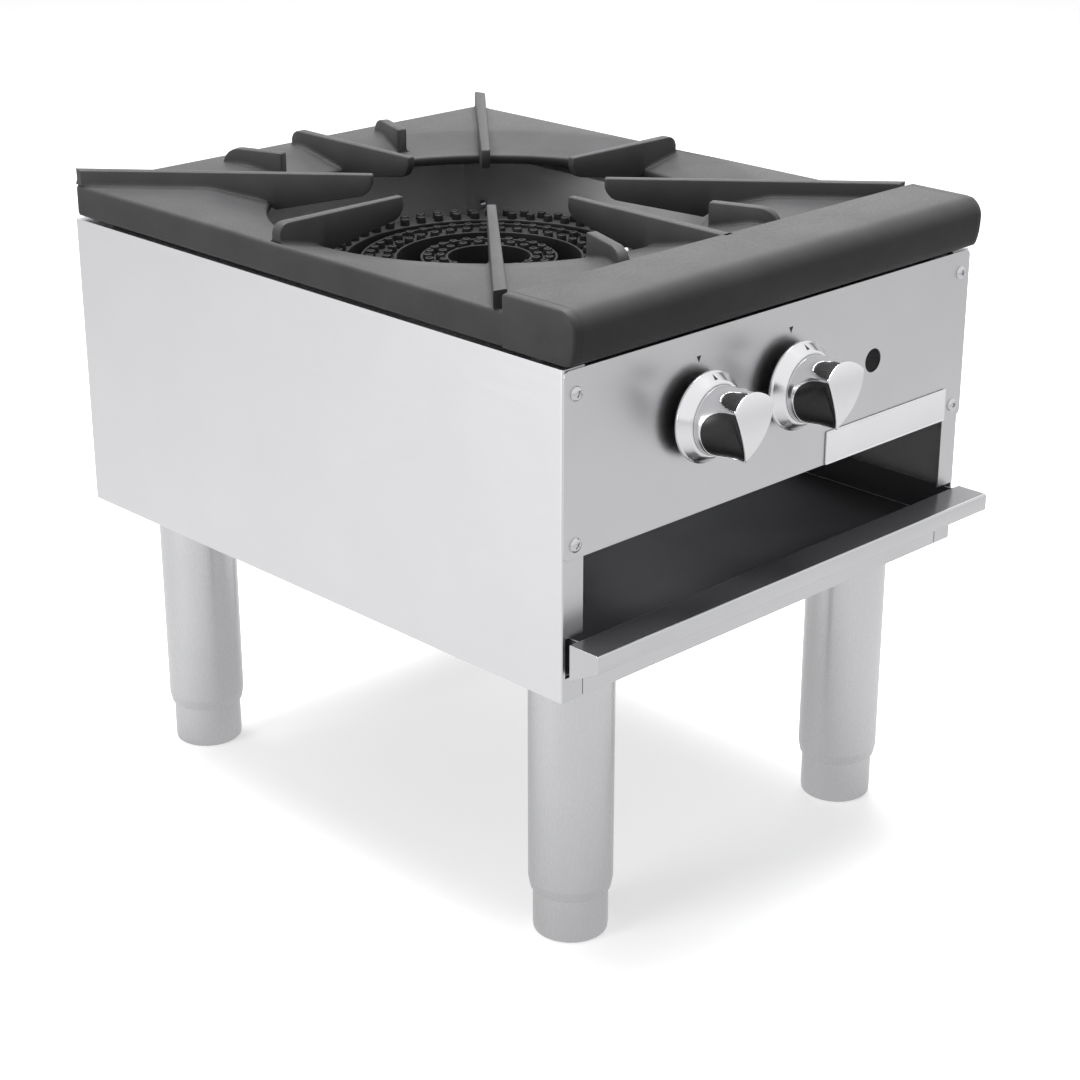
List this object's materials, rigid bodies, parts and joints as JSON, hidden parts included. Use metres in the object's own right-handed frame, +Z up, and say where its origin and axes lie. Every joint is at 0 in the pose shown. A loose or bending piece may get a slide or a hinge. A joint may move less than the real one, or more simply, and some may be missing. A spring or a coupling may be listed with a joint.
{
  "type": "stock pot range",
  "caption": "Single-burner gas stock pot range with a cast iron top grate, a three-ring burner, a crumb tray, two knobs and adjustable legs",
  "frame": {"origin": "on the floor below the middle of the body, midway between the knobs' faces and the end of the gas inlet", "axes": "+Z up, +Y to the rear, +X to the user's right; the knobs face -Y"},
  "size_m": [0.457, 0.6894, 0.524],
  "materials": {
    "stainless_sheet": "plain satin stainless sheet",
    "brushed_panel": "fine horizontal brushing",
    "nameplate": "satin, bare",
    "leg_steel": "brushed round the tube",
    "screw_steel": "bright plated",
    "plated_steel": "zinc plated",
    "dark_tray": "satin, darkened by use",
    "burner_iron": "as cast, black",
    "grate_iron": "as cast, satin charcoal",
    "black_pipe": "black lacquered steel pipe",
    "valve_brass": "machined",
    "tube_aluminium": "drawn tube",
    "pilot_tip": "matt",
    "knob_black": "black moulding",
    "knob_chrome": "polished chrome"
  },
  "bodies": {
    "chassis": {"left_side_panel": "stainless_sheet", "right_side_panel": "stainless_sheet", "back_panel": "stainless_sheet", "back_panel_screws": "screw_steel", "control_panel": "brushed_panel", "nameplate": "nameplate", "panel_screws": "screw_steel", "base_front_channel": "stainless_sheet", "base_rear_channel": "stainless_sheet", "leg_mounts": "plated_steel", "leg_bolts": "plated_steel", "leg_nuts": "plated_steel", "left_tray_runner": "stainless_sheet", "right_tray_runner": "stainless_sheet", "left_liner": "stainless_sheet", "right_liner": "stainless_sheet", "rear_liner": "stainless_sheet", "front_liner": "stainless_sheet", "liner_clips": "screw_steel", "burner_supports": "plated_steel", "burner_outer_rings": "burner_iron", "burner_inner_ring": "burner_iron", "mixer_tube_left": "burner_iron", "mixer_tube_right": "burner_iron", "manifold_pipe": "black_pipe", "manifold_plug": "black_pipe", "manifold_elbow": "black_pipe", "supply_pipe": "black_pipe", "inlet_coupling": "black_pipe", "gas_inlet_nipple": "black_pipe", "manifold_brackets": "plated_steel", "gas_valve_left": "valve_brass", "gas_valve_right": "valve_brass", "orifice_hoods": "valve_brass", "pilot_valve": "valve_brass", "pilot_tube": "tube_aluminium", "pilot_burner": "pilot_tip", "leg_front_left": "leg_steel", "leg_front_right": "leg_steel", "leg_rear_left": "leg_steel", "leg_rear_right": "leg_steel"},
    "grate": {"top_grate": "grate_iron"},
    "tray": {"crumb_tray": "dark_tray"},
    "knob_left": {"knob_left_back": "knob_black", "knob_left_skirt": "knob_chrome", "knob_left_shell": "knob_chrome", "knob_left_core": "knob_black", "valve_stem_left": "valve_brass"},
    "shutter_left": {"air_shutter_left": "plated_steel"},
    "knob_right": {"knob_right_back": "knob_black", "knob_right_skirt": "knob_chrome", "knob_right_shell": "knob_chrome", "knob_right_core": "knob_black", "valve_stem_right": "valve_brass"},
    "shutter_right": {"air_shutter_right": "plated_steel"},
    "foot_front_left_body": {"foot_front_left": "leg_steel"},
    "foot_front_right_body": {"foot_front_right": "leg_steel"},
    "foot_rear_left_body": {"foot_rear_left": "leg_steel"},
    "foot_rear_right_body": {"foot_rear_right": "leg_steel"}
  },
  "joints": [
    {"name": "grate_lift", "type": "slide", "parent": "chassis", "child": "grate", "axis": [0, 0, 1], "range_m": [0, 0.12]},
    {"name": "tray_slide", "type": "slide", "parent": "chassis", "child": "tray", "axis": [0, -1, 0], "range_m": [0, 0.45]},
    {"name": "knob_left_turn", "type": "hinge", "parent": "chassis", "child": "knob_left", "pos_m": [-0.093, -0.3, 0.4195], "axis": [0, -1, 0], "range_deg": [0, 90]},
    {"name": "shutter_left_turn", "type": "hinge", "parent": "chassis", "child": "shutter_left", "pos_m": [-0.093, -0.22, 0.38], "axis": [0, -1, 0], "range_deg": [0, 45]},
    {"name": "knob_right_turn", "type": "hinge", "parent": "chassis", "child": "knob_right", "pos_m": [0.0086, -0.3, 0.4195], "axis": [0, -1, 0], "range_deg": [0, 90]},
    {"name": "shutter_right_turn", "type": "hinge", "parent": "chassis", "child": "shutter_right", "pos_m": [0.0086, -0.22, 0.38], "axis": [0, -1, 0], "range_deg": [0, 45]},
    {"name": "foot_front_left_screw", "type": "slide", "parent": "chassis", "child": "foot_front_left_body", "axis": [0, 0, -1], "range_m": [0, 0.03]},
    {"name": "foot_front_right_screw", "type": "slide", "parent": "chassis", "child": "foot_front_right_body", "axis": [0, 0, -1], "range_m": [0, 0.03]},
    {"name": "foot_rear_left_screw", "type": "slide", "parent": "chassis", "child": "foot_rear_left_body", "axis": [0, 0, -1], "range_m": [0, 0.03]},
    {"name": "foot_rear_right_screw", "type": "slide", "parent": "chassis", "child": "foot_rear_right_body", "axis": [0, 0, -1], "range_m": [0, 0.03]}
  ]
}
